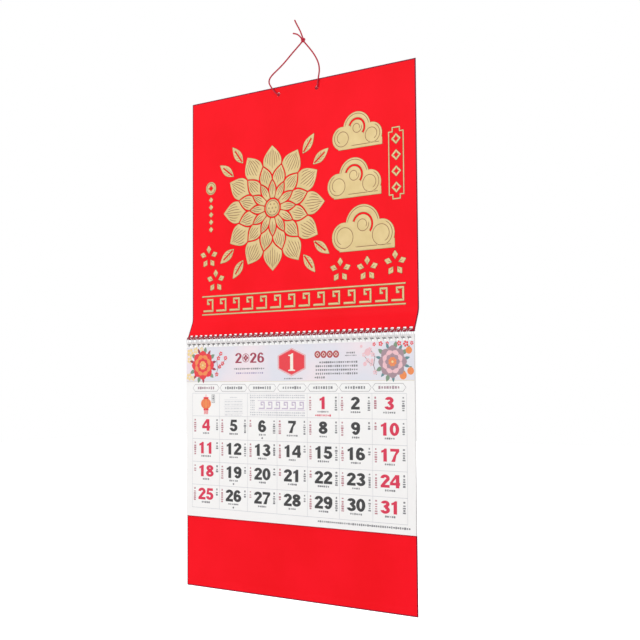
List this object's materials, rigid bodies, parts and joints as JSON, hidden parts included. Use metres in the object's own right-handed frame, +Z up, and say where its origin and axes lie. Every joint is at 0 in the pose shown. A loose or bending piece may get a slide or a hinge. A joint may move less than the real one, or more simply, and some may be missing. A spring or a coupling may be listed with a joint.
{
  "type": "wall calendar",
  "caption": "Hanging wall calendar: bent top board with foil picture and string, wire-bound pad of month pages and a back board.",
  "frame": {"origin": "the point where a nail carries the string, in the fork just under its knot; with the string as tied, 13.4 mm to the right of the boards' middle", "axes": "+Z up, -Y out of the printed front towards the viewer, +X to the viewer's right"},
  "size_m": [0.35, 0.0203, 0.7324],
  "materials": {
    "red_card": "smooth satin red on the front, pale grey-white back",
    "gold_foil": "matt pale gold foil, embossed",
    "page_paper": "smooth white paper",
    "banner_ink": "printed pale lavender grey",
    "red_ink": "printed red",
    "orange_ink": "printed orange red",
    "label_ink": "printed pale pink grey",
    "grey_ink": "printed grey",
    "white_wire": "glossy white coated steel wire",
    "red_cord": "fine twisted red cord"
  },
  "bodies": {
    "head": {"top_board": "red_card", "foil_picture": "gold_foil", "binding_wire": "white_wire", "string_right_leg": "red_cord", "string_left_leg": "red_cord", "string_long_tail": "red_cord", "string_short_tail": "red_cord", "string_back_run": "red_cord", "string_knot": "red_cord"},
    "backing": {"back_board": "red_card"},
    "pages": {"month_pages": "page_paper", "banner_field": "banner_ink", "month_badge": "red_ink", "badge_border": "red_ink", "banner_sprays": "orange_ink", "weekday_labels": "label_ink", "row_rules": "grey_ink", "first_row_picture": "orange_ink"}
  },
  "joints": [
    {"name": "back_board_swing", "type": "hinge", "parent": "head", "child": "backing", "pos_m": [-0.0134, -0.0107, -0.374], "axis": [1, 0, 0], "range_deg": [0, 85]},
    {"name": "page_lift", "type": "hinge", "parent": "backing", "child": "pages", "pos_m": [-0.0134, -0.0107, -0.374], "axis": [-1, 0, 0], "range_deg": [0, 172]}
  ]
}
